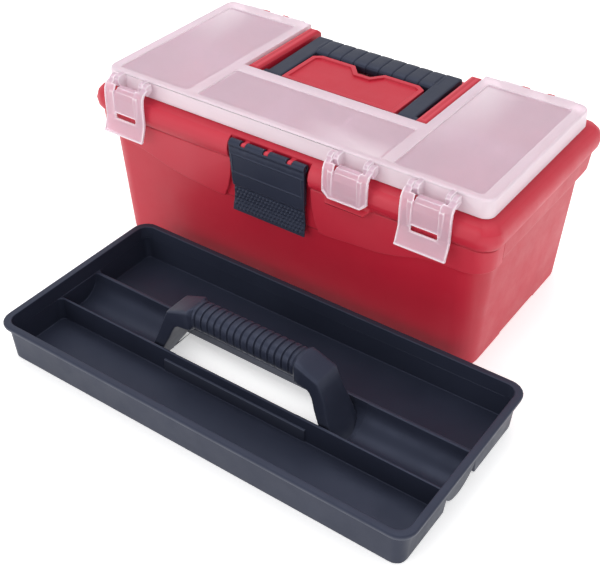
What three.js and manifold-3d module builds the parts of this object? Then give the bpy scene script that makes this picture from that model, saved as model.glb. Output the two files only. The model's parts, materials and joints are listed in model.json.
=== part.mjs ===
// Toolbox with a lift-out tray, in millimetres, +Z up, front towards -Y.
// The origin is the middle of the tub's underside. The tray stands on the floor in front of the tub.
import * as THREE from "three";
import { mergeVertices } from "three/addons/utils/BufferGeometryUtils.js";
import Module from "manifold-3d";

const wasm = await Module();
wasm.setup();

// ---------- driving dimensions ----------
const GAP = 0.35; // between touching pieces
const PIN_CLEARANCE = 0.35; // between a pin and its hole, on the radius

const BASE = {
  bottom: { x: 187, y: 92 }, // half sizes of the tub's underside
  shoulder: { x: 192.3, y: 96 }, // under the rim band
  band: { x: 198, y: 98.6 }, // the rim band
  apronY: 100, // the front band stands proud of the rest
  shoulderZ: 99,
  bandZ: 112,
  rimZ: 128.4,
  wall: 2.4,
  floor: 4.6,
  cornerRadius: 21,
  bandRadius: 15,
  ledgeZ: 104, // the tray's ledge, inside the band
  footRelief: 2,
};
const LID = {
  seamZ: 129.2,
  seam: { x: 200, y: 101.2 },
  bulge: { x: 203, y: 104.2 },
  bulgeZ: 139,
  topZ: 151.2,
  wall: 2.6,
  floorZ: 138, // top of the compartments' floor
  floorThickness: 2.2,
  upstandZ: 160, // top of the compartments' walls
  upstand: { x: 187.6, front: -88, back: 86 },
  cornerRadius: 14,
};
const COVER = {
  x: 191,
  front: -91,
  back: 88.5,
  bottomZ: 151.6,
  topZ: 168,
  wall: 1.8,
  plate: 3,
  cornerRadius: 9,
  notchX: 93.2, // half width of the gap around the carry handle
  notchY: -17.2,
};
const COMPARTMENTS = {
  left: { x: [-185.2, -98], y: [-85.6, 83.6] },
  right: { x: [98, 185.2], y: [-85.6, 83.6] },
  front: { x: [-95.6, 95.6], y: [-85.6, -22] },
};
const DIVIDER = { halfThickness: 0.8, sideY: 4, frontX: 32, guide: 1.6 };
const RECESS = { x: 79.8, front: -13.8, floorZ: 150, wall: 2.4 };
const RAIL = { inner: 80, outer: 92.4, front: -16.8, back: 86, topZ: 167 };
const PAD = { x: 58.2, front: -9, back: 45.4, topZ: 163.3, recess: 1.8 };
const HANDLE = {
  armInner: 60,
  armOuter: 76,
  gripFront: 48.5,
  gripBack: 78,
  bottomZ: 153.6,
  gripTopZ: 165,
};
const LATCH = { centreX: -4.5, width: 76.4, bottomZ: 79.8, gripZ: 104, wall: 2.4 };
const CLIP = { width: 44.6, middleWidth: 42, centres: { left: -156.5, middle: 74, right: 146 } };
const TRAY = {
  centre: { x: 54.8, y: -204 },
  rim: { x: 196, y: 90.8 },
  wallTop: { x: 191.6, y: 87 },
  bottom: { x: 189.2, y: 85.2 },
  height: 35.5,
  lip: 4.2,
  wall: 2.1,
  dividerZ: 22.6,
  troughY: -4.2,
  troughRadius: 20.5,
};

// Hinge axes, all along X.
const LID_HINGE = { y: 108, z: 126.5, pin: 2.2, knuckle: 5 };
const COVER_HINGE = { y: 93.5, z: 160.4, pin: 1.5, knuckle: 4.2 };
const HANDLE_PIVOT = { y: -5.5, z: 158.2, pin: 3 };
const LATCH_HINGE = { y: -101.6, z: 145.8, pin: 1.6, knuckle: 3.9 };
const CLIP_HINGE = { y: -95.6, z: 163.2, pin: 1.3, knuckle: 3.2 };

// ---------- materials ----------
const red = new THREE.MeshStandardMaterial({ color: 0xb01226, roughness: 0.45, metalness: 0 });
const black = new THREE.MeshStandardMaterial({ color: 0x23262e, roughness: 0.5, metalness: 0 });
const frosted = new THREE.MeshStandardMaterial({
  color: 0xe8dfe4,
  roughness: 0.35,
  metalness: 0,
  transparent: true,
  opacity: 0.55,
});
const steel = new THREE.MeshStandardMaterial({ color: 0x9a9da2, roughness: 0.35, metalness: 1 });

// ---------- solids ----------
function solid(geometry) {
  const bare = new THREE.BufferGeometry().setAttribute("position", geometry.getAttribute("position"));
  if (geometry.index) bare.setIndex(geometry.index);
  const merged = mergeVertices(bare, 1e-4);
  return new wasm.Manifold(
    new wasm.Mesh({
      numProp: 3,
      vertProperties: new Float32Array(merged.attributes.position.array),
      triVerts: new Uint32Array(merged.index.array),
    }),
  );
}

function join(...solids) {
  return solids.reduce((whole, piece) => whole.add(piece));
}

function cut(whole, ...tools) {
  return tools.reduce((left, tool) => left.subtract(tool), whole);
}

function box(x0, x1, y0, y1, z0, z1) {
  const geometry = new THREE.BoxGeometry(x1 - x0, y1 - y0, z1 - z0);
  return solid(geometry.translate((x0 + x1) / 2, (y0 + y1) / 2, (z0 + z1) / 2));
}

// A closed outline from plain points or a THREE.Shape, extruded by depth along its own third axis.
function prism(outline, depth, basis, segments = 5) {
  const isList = Array.isArray(outline);
  const shape = isList ? new THREE.Shape(outline.map(([u, v]) => new THREE.Vector2(u, v))) : outline;
  const geometry = new THREE.ExtrudeGeometry(shape, { depth, bevelEnabled: false, curveSegments: segments });
  return solid(geometry.applyMatrix4(basis));
}

const X = new THREE.Vector3(1, 0, 0);
const Y = new THREE.Vector3(0, 1, 0);
const Z = new THREE.Vector3(0, 0, 1);

// Outline in (y, z), from x0 to x1.
function prismX(outline, x0, x1, segments) {
  return prism(outline, x1 - x0, new THREE.Matrix4().makeBasis(Y, Z, X).setPosition(x0, 0, 0), segments);
}

// Outline in (x, z), from y0 to y1.
function prismY(outline, y0, y1, segments) {
  const back = Y.clone().negate();
  return prism(outline, y1 - y0, new THREE.Matrix4().makeBasis(X, Z, back).setPosition(0, y1, 0), segments);
}

// Outline in (x, y), from z0 to z1.
function prismZ(outline, z0, z1, segments) {
  return prism(outline, z1 - z0, new THREE.Matrix4().setPosition(0, 0, z0), segments);
}

function roundedRect(u0, u1, v0, v1, r) {
  const shape = new THREE.Shape();
  shape.absarc(u1 - r, v1 - r, r, 0, Math.PI / 2);
  shape.absarc(u0 + r, v1 - r, r, Math.PI / 2, Math.PI);
  shape.absarc(u0 + r, v0 + r, r, Math.PI, Math.PI * 1.5);
  shape.absarc(u1 - r, v0 + r, r, Math.PI * 1.5, Math.PI * 2);
  return shape;
}

function rodX(x0, x1, { y, z }, radius, sides = 20) {
  const geometry = new THREE.CylinderGeometry(radius, radius, x1 - x0, sides);
  return solid(geometry.rotateZ(Math.PI / 2).translate((x0 + x1) / 2, y, z));
}

// A tapered body with rounded corners: each level is { z, x, y } or { z, x, front, back }, with r.
function loft(levels, corner = 6) {
  const rings = levels.map(({ z, x, y, front = -y, back = y, r }) => {
    const ring = [];
    const centres = [[x - r, back - r], [r - x, back - r], [r - x, front + r], [x - r, front + r]];
    centres.forEach(([cx, cy], quarter) => {
      for (let i = 0; i <= corner; i += 1) {
        const angle = (Math.PI / 2) * (quarter + i / corner);
        ring.push([cx + r * Math.cos(angle), cy + r * Math.sin(angle), z]);
      }
    });
    return ring;
  });
  const count = rings[0].length;
  const positions = rings.flat(2);
  const index = [];
  for (let level = 0; level + 1 < rings.length; level += 1) {
    for (let i = 0; i < count; i += 1) {
      const a = level * count + i;
      const b = level * count + ((i + 1) % count);
      index.push(a, b, b + count, a, b + count, a + count);
    }
  }
  const top = (rings.length - 1) * count;
  for (let i = 1; i + 1 < count; i += 1) {
    index.push(0, i + 1, i);
    index.push(top, top + i, top + i + 1);
  }
  const geometry = new THREE.BufferGeometry();
  geometry.setAttribute("position", new THREE.Float32BufferAttribute(positions, 3));
  geometry.setIndex(index);
  return solid(geometry);
}

// A hinge knuckle: a round eye joined to an arm whose outline is given in (y, z).
function knuckle(x0, x1, hinge, arm) {
  return join(rodX(x0, x1, hinge, hinge.knuckle), prismX(arm, x0, x1));
}

function pinHole(x0, x1, hinge) {
  return rodX(x0, x1, hinge, hinge.pin + PIN_CLEARANCE);
}

function toMesh(name, whole, material) {
  const { vertProperties, triVerts } = whole.getMesh();
  const geometry = new THREE.BufferGeometry();
  geometry.setAttribute("position", new THREE.Float32BufferAttribute(vertProperties, 3));
  geometry.setIndex(new THREE.Uint32BufferAttribute(triVerts, 1));
  geometry.computeVertexNormals();
  const mesh = new THREE.Mesh(geometry, material.clone());
  mesh.name = name;
  return mesh;
}

// ---------- stations along X ----------
const LID_HINGES = [-125, 125]; // middle of each lid hinge
const LID_HINGE_SPAN = { inner: 9, outer: 15 }; // the lid's eye and the tub's two ears
const COVER_HINGES = [-140, 140];
const COVER_EYES = [15.5, 33]; // the cover's eyes, each side of the middle of a hinge
const LID_EARS = [8.5, 14.8];
const latchX = { left: LATCH.centreX - LATCH.width / 2, right: LATCH.centreX + LATCH.width / 2 };
const latchWindows = [-24, -0.5, 23].map((offset) => LATCH.centreX + offset);

// ---------- base tub ----------
function baseTub() {
  const { bottom, shoulder, band, shoulderZ, bandZ, rimZ, wall, floor, cornerRadius: r, ledgeZ } = BASE;
  const { bandRadius, apronY } = BASE;
  // The wall flares into the rim band in a soft S.
  const flare = [0, 0.08, 0.35, 0.75, 1].map((step, i) => ({
    z: shoulderZ + (bandZ - shoulderZ) * (i / 4),
    x: shoulder.x + (band.x - shoulder.x) * step,
    y: shoulder.y + (band.y - shoulder.y) * step,
    r: r + 1 + (bandRadius + 1 - r) * step,
  }));
  const outer = loft([
    { z: 0, ...bottom, r },
    ...flare,
    { z: rimZ, x: band.x + 1, y: band.y + 0.8, r: bandRadius },
  ]);

  // The front band hangs lower in the middle than at the corners.
  const envelope = loft([
    { z: 70, x: band.x, y: apronY - 0.6, r: bandRadius + 1 },
    { z: rimZ, x: band.x + 1, y: apronY, r: bandRadius },
  ]);
  const apronOutline = [
    [-200, rimZ - 0.5],
    [-200, 108.5],
    [-176, 105.4],
    [-152, 103.2],
    [-138, 99.4],
    [-118, 93.6],
    [-98, 90.4],
    [-62, 87.4],
    [52, 87.4],
    [84, 90.2],
    [102, 91.6],
    [119, 95.2],
    [138, 101.4],
    [152, 104.2],
    [178, 105],
    [200, 109],
    [200, rimZ - 0.5],
  ];
  const apron = prismY(apronOutline, -101, -76).intersect(envelope);
  const recess = prismY(
    [
      [-56, 84],
      [47, 84],
      [44.7, 88],
      [40.3, 98.7],
      [37.3, 112],
      [36.4, 126],
      [36.4, rimZ + 5],
      [-45.4, rimZ + 5],
      [-45.4, 126],
      [-46.3, 112],
      [-49.3, 98.7],
      [-53.7, 88],
    ],
    -120,
    -shoulder.y - 0.4,
  );

  const lowerCavity = loft([
    { z: floor, x: bottom.x - wall + 0.2, y: bottom.y - wall + 0.2, r: r - 4 },
    { z: shoulderZ, x: shoulder.x - wall, y: shoulder.y - wall, r: r - 2 },
    { z: ledgeZ + 1, x: shoulder.x - wall, y: shoulder.y - wall, r: r - 2 },
  ]);
  const upperCavity = cut(
    loft([
      { z: ledgeZ, x: shoulder.x - wall, y: shoulder.y - wall, r: r - 2 },
      { z: bandZ - 3, x: band.x - wall - 1.2, y: band.y - wall - 0.4, r: bandRadius },
      { z: bandZ, x: band.x - wall, y: band.y - wall, r: bandRadius - 1 },
      { z: rimZ + 0.1, x: band.x + 1 - wall, y: band.y + 0.8 - wall, r: bandRadius - 2 },
    ]),
    box(-57, 48, -110, -(shoulder.y - wall), ledgeZ - 1, rimZ + 6),
  );

  // Relief between the corner feet, along all four bottom edges.
  const relief = [
    box(-130, 130, -110, -80, -1, BASE.footRelief),
    box(-130, 130, 80, 110, -1, BASE.footRelief),
    box(-200, -172, -30, 34, -1, BASE.footRelief),
    box(172, 200, -30, 34, -1, BASE.footRelief),
  ];

  const catchBar = prismX(
    [
      [-95, 108],
      [-97.2, 109],
      [-98.9, 112.5],
      [-98.9, 116.5],
      [-95, 116.5],
    ],
    latchX.left + 14,
    latchX.right - 14,
  );

  const { inner, outer: outerSpan } = LID_HINGE_SPAN;
  const ears = LID_HINGES.flatMap((middle) =>
    [-1, 1].map((side) => {
      const ends = [middle + side * (inner + 0.5), middle + side * outerSpan];
      const arm = [
        [98, 104],
        [LID_HINGE.y + 3, 119],
        [LID_HINGE.y + LID_HINGE.knuckle, LID_HINGE.z],
        [LID_HINGE.y, LID_HINGE.z],
        [98, LID_HINGE.z],
      ];
      return knuckle(Math.min(...ends), Math.max(...ends), LID_HINGE, arm);
    }),
  );
  const holes = LID_HINGES.map((middle) => pinHole(middle - 20, middle + 20, LID_HINGE));
  return cut(
    join(cut(join(outer, apron), recess, lowerCavity, upperCavity), catchBar, ...ears),
    ...relief,
    ...holes,
  );
}

// ---------- lid ----------
function lidShell() {
  const { seamZ, seam, bulge, bulgeZ, topZ, wall, floorZ, upstandZ, upstand, cornerRadius: r } = LID;
  const ceiling = floorZ - LID.floorThickness;
  const shoulder = loft([
    { z: seamZ, ...seam, r: r + 2 },
    { z: seamZ + 4, x: bulge.x - 0.8, y: bulge.y - 0.8, r: r + 2 },
    { z: bulgeZ, ...bulge, r: r + 2 },
    { z: 145, x: bulge.x - 1.6, y: bulge.y - 1.6, r: r + 1 },
    { z: 149, x: bulge.x - 5.2, y: bulge.y - 5.2, r: r - 1 },
    { z: topZ, x: bulge.x - 11.4, y: bulge.y - 11.4, r: r - 4 },
  ]);
  const walls = cut(
    loft([
      { z: floorZ, ...upstand, r: 8 },
      { z: upstandZ, ...upstand, r: 8 },
    ]),
    box(-95.6, 95.6, COVER.notchY - 2.4, 120, topZ, upstandZ + 1),
  );
  const rails = [-1, 1].map((side) => {
    const [a, b] = [side * RAIL.inner, side * RAIL.outer].sort((p, q) => p - q);
    const section = prismY(roundedRect(a, b, floorZ, RAIL.topZ, 5), RAIL.front, RAIL.back);
    return section.intersect(
      prismX(roundedRect(RAIL.front, RAIL.back, 130, RAIL.topZ, 7), a - 1, b + 1),
    );
  });
  const frontWall = box(-RAIL.outer, RAIL.outer, RAIL.front, RECESS.front, floorZ, 163.2);

  const lowerCavity = loft([
    { z: seamZ - 1, x: seam.x - wall, y: seam.y - wall, r },
    { z: seamZ + 4, x: bulge.x - 0.8 - wall, y: bulge.y - 0.8 - wall, r },
    { z: ceiling, x: bulge.x - wall, y: bulge.y - wall, r },
  ]);
  const shoulderCavity = cut(
    loft([
      { z: ceiling - 0.5, x: bulge.x - wall, y: bulge.y - wall, r },
      { z: 143, x: bulge.x - wall - 0.8, y: bulge.y - wall - 0.8, r },
      { z: 148, x: bulge.x - 10, y: bulge.y - 10, r: r - 2 },
    ]),
    loft([
      { z: ceiling - 2, x: upstand.x + 0.8, front: upstand.front - 0.8, back: upstand.back + 0.8, r: 8 },
      { z: 150, x: upstand.x + 0.8, front: upstand.front - 0.8, back: upstand.back + 0.8, r: 8 },
    ]),
  );
  const latchPocket = box(-48.2, 39.2, -120, -92, seamZ - 2, topZ + 1);
  const cavity = join(
    cut(join(lowerCavity, shoulderCavity), latchPocket),
    box(-90, 90, -11, 90, ceiling - 1, RECESS.floorZ - RECESS.wall),
  );

  const compartments = Object.values(COMPARTMENTS).map(({ x, y }) => box(...x, ...y, floorZ, 170));
  const recess = box(-RECESS.x, RECESS.x, RECESS.front, 120, RECESS.floorZ, 170);
  const body = cut(join(shoulder, walls, ...rails, frontWall), cavity, ...compartments, recess);

  // Pairs of small ribs on the compartments' walls hold the dividers.
  const { halfThickness, sideY, frontX, guide } = DIVIDER;
  const near = halfThickness + GAP;
  const guideTop = upstandZ - 3;
  const guides = [-1, 1].flatMap((side) => {
    const pair = (middle) => [middle + side * near, middle + side * (near + guide)].sort((p, q) => p - q);
    const sideWalls = [COMPARTMENTS.left, COMPARTMENTS.right].flatMap(({ x: [x0, x1] }) => [
      box(x0 - 0.5, x0 + guide, ...pair(sideY), floorZ - 0.5, guideTop),
      box(x1 - guide, x1 + 0.5, ...pair(sideY), floorZ - 0.5, guideTop),
    ]);
    const [y0, y1] = COMPARTMENTS.front.y;
    const frontWalls = [-frontX, frontX].flatMap((middle) => [
      box(...pair(middle), y0 - 0.5, y0 + guide, floorZ - 0.5, guideTop),
      box(...pair(middle), y1 - guide, y1 + 0.5, floorZ - 0.5, guideTop),
    ]);
    return [...sideWalls, ...frontWalls];
  });

  // The centre pad, with a finger notch in its rear edge.
  const padOutline = [
    [-PAD.x, PAD.front],
    [PAD.x, PAD.front],
    [PAD.x, PAD.back - 5],
    [PAD.x - 7, PAD.back],
    [15.5, PAD.back],
    [7, PAD.back - 10.8],
    [-6, PAD.back - 10.8],
    [-15.5, PAD.back],
    [7 - PAD.x, PAD.back],
    [-PAD.x, PAD.back - 5],
  ];
  const pad = prismZ(padOutline, RECESS.floorZ - 1, PAD.topZ);
  const padCavity = box(-PAD.x + 3, PAD.x - 3, PAD.front + 3, PAD.back - 14, RECESS.floorZ - 4, PAD.topZ - 4.2);
  const padRecess = prismZ(
    [
      [-PAD.x + 4.6, PAD.front + 4.6],
      [PAD.x - 4.6, PAD.front + 4.6],
      [PAD.x - 4.6, PAD.back - 7.4],
      [PAD.x - 8.5, PAD.back - 4.6],
      [17.7, PAD.back - 4.6],
      [9.2, PAD.back - 15.4],
      [-8.1, PAD.back - 15.4],
      [-17.6, PAD.back - 4.6],
      [8.5 - PAD.x, PAD.back - 4.6],
      [-PAD.x + 4.6, PAD.back - 7.4],
    ],
    PAD.topZ - PAD.recess,
    PAD.topZ + 1,
  );

  // The notch for the main latch, and the lugs that carry its pin.
  const notch = [
    box(-45.4, 36.4, -120, -96.6, seamZ - 2, topZ + 1),
    box(-45.4, 36.4, -120, -94.6, seamZ - 2, 141),
  ];
  const latchLugs = latchWindows.map((middle) =>
    knuckle(middle - 2.1, middle + 2.1, { ...LATCH_HINGE, knuckle: 2.8 }, [
      [-101.6, 142.5],
      [-94, 142.5],
      [-94, 148.2],
      [-101.6, 148.2],
    ]),
  );

  // Catches behind the slots of the outer clips, and the lip under the middle clip.
  const catches = [CLIP.centres.left, CLIP.centres.right].map((middle) =>
    prismX(
      [
        [-100, 129.8],
        [-104.4, 130.5],
        [-104.6, 136],
        [-100, 137.5],
      ],
      middle - 12,
      middle + 12,
    ),
  );
  const lip = prismX(
    [
      [-100.6, 130.4],
      [-108, 125.2],
      [-108.8, 126.4],
      [-108.6, 127.4],
      [-104.4, 129.8],
      [-103, 133.5],
      [-100.6, 133.5],
    ],
    CLIP.centres.middle - 23.5,
    CLIP.centres.middle + 23.5,
  ).intersect(
    prismZ([[-23.5, -100], [-17, -109.5], [17, -109.5], [23.5, -100]]
      .map(([u, v]) => [CLIP.centres.middle + u, v]), 120, 140),
  );

  // Hinge eyes between the tub's ears, and ears for the cover.
  const eyes = LID_HINGES.map((middle) =>
    knuckle(middle - LID_HINGE_SPAN.inner, middle + LID_HINGE_SPAN.inner, LID_HINGE, [
      [102, 130.2],
      [LID_HINGE.y - LID_HINGE.knuckle + 0.3, LID_HINGE.z],
      [LID_HINGE.y + LID_HINGE.knuckle, LID_HINGE.z],
      [LID_HINGE.y + 4, 131],
      [102.5, 140],
      [100, 138],
      [100, 131],
    ]),
  );
  const ears = COVER_HINGES.flatMap((middle) =>
    [-1, 1].map((side) => {
      const [x0, x1] = LID_EARS.map((offset) => middle + side * offset).sort((p, q) => p - q);
      return knuckle(x0, x1, COVER_HINGE, [
        [COVER_HINGE.y - COVER_HINGE.knuckle, 149],
        [COVER_HINGE.y + COVER_HINGE.knuckle, 146],
        [COVER_HINGE.y + COVER_HINGE.knuckle, COVER_HINGE.z],
        [COVER_HINGE.y - COVER_HINGE.knuckle, COVER_HINGE.z],
      ]);
    }),
  );
  const holes = [
    ...LID_HINGES.map((middle) => pinHole(middle - 20, middle + 20, LID_HINGE)),
    ...COVER_HINGES.map((middle) => pinHole(middle - 40, middle + 40, COVER_HINGE)),
    pinHole(latchX.left, latchX.right, LATCH_HINGE),
    pinHole(HANDLE.armOuter, 90, HANDLE_PIVOT),
    pinHole(-90, -HANDLE.armOuter, HANDLE_PIVOT),
  ];
  const shell = join(cut(join(body, pad), padCavity, padRecess, ...notch), ...guides, ...latchLugs, ...catches, lip);
  return cut(join(shell, ...eyes, ...ears), ...holes);
}

// ---------- organiser cover ----------
function organizerCover() {
  const { x, front, back, bottomZ, topZ, wall, plate, cornerRadius: r, notchX, notchY } = COVER;
  const notch = box(-notchX, notchX, notchY, 120, bottomZ - 1, topZ + 1);
  const outer = cut(
    loft([
      { z: bottomZ, x, front, back, r },
      { z: topZ - 1.6, x: x - 0.4, front: front + 0.4, back: back - 0.4, r },
      { z: topZ, x: x - 1.8, front: front + 1.8, back: back - 1.8, r: r - 1 },
    ]),
    notch,
  );
  const inside = cut(
    loft([
      { z: bottomZ - 1, x: x - wall, front: front + wall, back: back - wall, r: r - 1.5 },
      { z: topZ - plate, x: x - wall, front: front + wall, back: back - wall, r: r - 1.5 },
    ]),
    box(-notchX - wall, notchX + wall, notchY - wall, 120, bottomZ - 2, topZ),
  );
  // The rear skirt is left out so that the cover can swing back over the compartments' walls.
  const rearGap = [
    box(-x + 2.4, -notchX - wall - 2, 78, 120, bottomZ - 1, topZ - plate - 1.6),
    box(notchX + wall + 2, x - 2.4, 78, 120, bottomZ - 1, topZ - plate - 1.6),
    box(-notchX - 5, notchX + 5, 78, 120, bottomZ - 1, topZ - plate - 1.6),
  ];
  // Shallow panels in the top plate leave ridges along every edge.
  const sidePanel = (side) => {
    const [x0, x1] = [side * 102.6, side * 180.3].sort((p, q) => p - q);
    return prismZ(roundedRect(x0, x1, -84.4, 74, 3), topZ - 1.3, topZ + 1, 3);
  };
  const panels = [
    sidePanel(-1),
    sidePanel(1),
    prismZ(roundedRect(-91.6, 91.6, -84.4, -29.3, 3), topZ - 1.3, topZ + 1, 3),
  ];
  const eyes = COVER_HINGES.flatMap((middle) =>
    [-1, 1].map((side) => {
      const [x0, x1] = COVER_EYES.map((offset) => middle + side * offset).sort((p, q) => p - q);
      return knuckle(x0, x1, COVER_HINGE, [
        [back - wall, COVER_HINGE.z + 1.4],
        [COVER_HINGE.y, COVER_HINGE.z - 1],
        [COVER_HINGE.y + COVER_HINGE.knuckle, COVER_HINGE.z],
        [back, topZ - 1.7],
        [back - wall, topZ - 1.7],
      ]);
    }),
  );
  // Two ears for each clip, on the front wall.
  const ears = Object.values(CLIP.centres).flatMap((middle) =>
    [-1, 1].map((side) => {
      const [x0, x1] = [middle + side * 11.4, middle + side * 15.9].sort((p, q) => p - q);
      return knuckle(x0, x1, CLIP_HINGE, [
        [front + 1, 154],
        [CLIP_HINGE.y - 2.4, 160.5],
        [CLIP_HINGE.y - 2.4, CLIP_HINGE.z + 2.2],
        [front + 2, CLIP_HINGE.z + 3],
      ]);
    }),
  );
  const holes = [
    ...COVER_HINGES.map((middle) => pinHole(middle - 40, middle + 40, COVER_HINGE)),
    ...Object.values(CLIP.centres).map((middle) => pinHole(middle - 26, middle + 26, CLIP_HINGE)),
  ];
  return cut(join(cut(outer, inside, ...rearGap, ...panels), ...eyes, ...ears), ...holes);
}

// ---------- clips of the cover ----------
// The strap's outline in (y, z) follows the lid's shoulder at a constant distance.
const STRAP_THICKNESS = 2;
const strapPath = [
  [-98.2, 158.6],
  [-101.6, 152.6],
  [-105, 147],
  [-106, 141],
  [-106, 133.5],
  [-107.4, 128.6],
];
const flapEnd = [-112.2, 117];

function offsetOutline(path, thickness) {
  const half = thickness / 2;
  const sides = path.map(([u, v], i) => {
    const [pu, pv] = path[Math.max(i - 1, 0)];
    const [nu, nv] = path[Math.min(i + 1, path.length - 1)];
    const length = Math.hypot(nu - pu, nv - pv);
    const [du, dv] = [((nv - pv) / length) * half, (-(nu - pu) / length) * half];
    return [[u + du, v + dv], [u - du, v - dv]];
  });
  return [...sides.map(([a]) => a), ...sides.map(([, b]) => b).reverse()];
}

function coverClip(middle, isShort) {
  const half = (isShort ? CLIP.middleWidth : CLIP.width) / 2;
  const path = isShort ? [...strapPath.slice(0, 4), [-106, 131.2]] : [...strapPath, flapEnd];
  const bottomZ = path[path.length - 1][1];
  const strap = prismX(offsetOutline(path, STRAP_THICKNESS), middle - half, middle + half);
  const face = isShort
    ? [
        [half - 8, bottomZ - 3],
        [half, bottomZ + 3],
        [half, 152],
        [half - 2, 156],
        [half - 2, 170],
        [2 - half, 170],
        [2 - half, 156],
        [-half, 152],
        [-half, bottomZ + 3],
        [4 - half, bottomZ - 3],
      ]
    : [
        [half - 2.2, bottomZ - 3],
        [half - 0.5, 134],
        [half - 0.5, 152],
        [half - 2, 156],
        [half - 2, 170],
        [2 - half, 170],
        [2 - half, 156],
        [0.5 - half, 152],
        [0.5 - half, 134],
        [2.2 - half, bottomZ - 3],
      ];
  const shifted = face.map(([u, v]) => [middle + u, v]);
  const outline = strap.intersect(prismY(shifted, -125, -90));
  const arms = [-1, 1].map((side) => {
    const [x0, x1] = [middle + side * 16.5, middle + side * 21.5].sort((p, q) => p - q);
    return knuckle(x0, x1, CLIP_HINGE, [
      [-96.4, 158],
      [-98.6, 156.4],
      [-99.8, 158.4],
      [CLIP_HINGE.y - CLIP_HINGE.knuckle, CLIP_HINGE.z],
      [CLIP_HINGE.y, CLIP_HINGE.z],
    ]);
  });
  const ribs = [-1, 1].flatMap((side) => {
    const [x0, x1] = [middle + side * 12.6, middle + side * 14.6].sort((p, q) => p - q);
    const low = isShort ? 132 : 133;
    const rib = prismX(
      [
        [-105.8, 147],
        [-106, low],
        [-108.2, low],
        [-108.2, 147],
        [-103.4, 153.4],
        [-101.8, 152.6],
      ],
      x0,
      x1,
    );
    return [rib];
  });
  const slot = isShort ? [] : [box(middle - 12, middle + 12, -112, -100, 130.4, 136.4)];
  const hole = pinHole(middle - 26, middle + 26, CLIP_HINGE);
  return cut(join(outline, ...arms, ...ribs), ...slot, hole);
}

// ---------- main latch ----------
function mainLatch() {
  const { wall, bottomZ, gripZ, centreX } = LATCH;
  const { left, right } = latchX;
  const top = { y: LATCH_HINGE.y - 3.6, z: LATCH_HINGE.z - 4.8 };
  // The plate leans in towards the tub, and its grip kicks out again.
  const section = [
    [LATCH_HINGE.y, LATCH_HINGE.z + LATCH_HINGE.knuckle],
    [top.y + 0.6, LATCH_HINGE.z + 1.4],
    [top.y, top.z],
    [-103, gripZ + 2],
    [-101.7, gripZ + 0.4],
    [-101.5, 92],
    [-103.4, bottomZ + 0.6],
    [-102.4, bottomZ],
    [-99.6, 91],
    [-99.4, gripZ + 0.4],
    [wall - 103, gripZ + 2.6],
    [top.y + wall, top.z],
    [LATCH_HINGE.y, LATCH_HINGE.z - 2],
  ];
  const half = (right - left) / 2;
  const sides = [
    [half - 0.6, bottomZ - 1],
    [half - 2, gripZ],
    [half - 1.2, gripZ + 2],
    [half, 136],
    [half, 152],
  ];
  const outline = [...sides, ...sides.map(([u, v]) => [-u, v]).reverse()];
  const face = outline.map(([u, v]) => [centreX + u, v]);
  const plate = prismX(section, left, right).intersect(prismY(face, -120, -90));
  const flange = [
    [top.y + 1, top.z],
    [-102, gripZ + 4],
    [-98.6, gripZ + 6],
    [-98.6, top.z],
  ];
  const flanges = [prismX(flange, left + 1.4, left + 3.4), prismX(flange, right - 3.4, right - 1.4)];
  const bead = prismX(
    [
      [-103, 118],
      [-99.4, 119],
      [-99.4, 121],
      [-103, 123],
    ],
    left + 3.4,
    right - 3.4,
  );
  const roll = rodX(left, right, LATCH_HINGE, LATCH_HINGE.knuckle);
  const windows = latchWindows.flatMap((middle) => [
    box(middle - 2.9, middle + 2.9, -104.75, -90, 140, 152),
    box(middle - 2.9, middle + 2.9, -110, -90, 147, 152),
  ]);
  return cut(join(plate, roll, ...flanges, bead), ...windows, pinHole(left - 1, right + 1, LATCH_HINGE));
}

// ---------- carry handle ----------
function carryHandle() {
  const { armInner, armOuter, gripFront, gripBack, bottomZ, gripTopZ } = HANDLE;
  const grip = prismX(roundedRect(gripFront, gripBack, bottomZ, gripTopZ, 5), -armOuter, armOuter);
  const armOutline = new THREE.Shape();
  const nose = 4.7;
  armOutline.absarc(HANDLE_PIVOT.y, HANDLE_PIVOT.z, nose, Math.PI / 2, Math.PI * 1.5);
  armOutline.lineTo(gripBack - 4, bottomZ);
  armOutline.lineTo(gripBack - 4, gripTopZ - 1);
  const arms = [
    prismX(armOutline, armInner, armOuter),
    prismX(armOutline, -armOuter, -armInner),
  ];
  const bosses = [
    rodX(armOuter, armOuter + 2.9, HANDLE_PIVOT, 4.7),
    rodX(-armOuter - 2.9, -armOuter, HANDLE_PIVOT, 4.7),
  ];
  return cut(join(grip, ...arms, ...bosses), pinHole(55, 95, HANDLE_PIVOT), pinHole(-95, -55, HANDLE_PIVOT));
}

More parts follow.
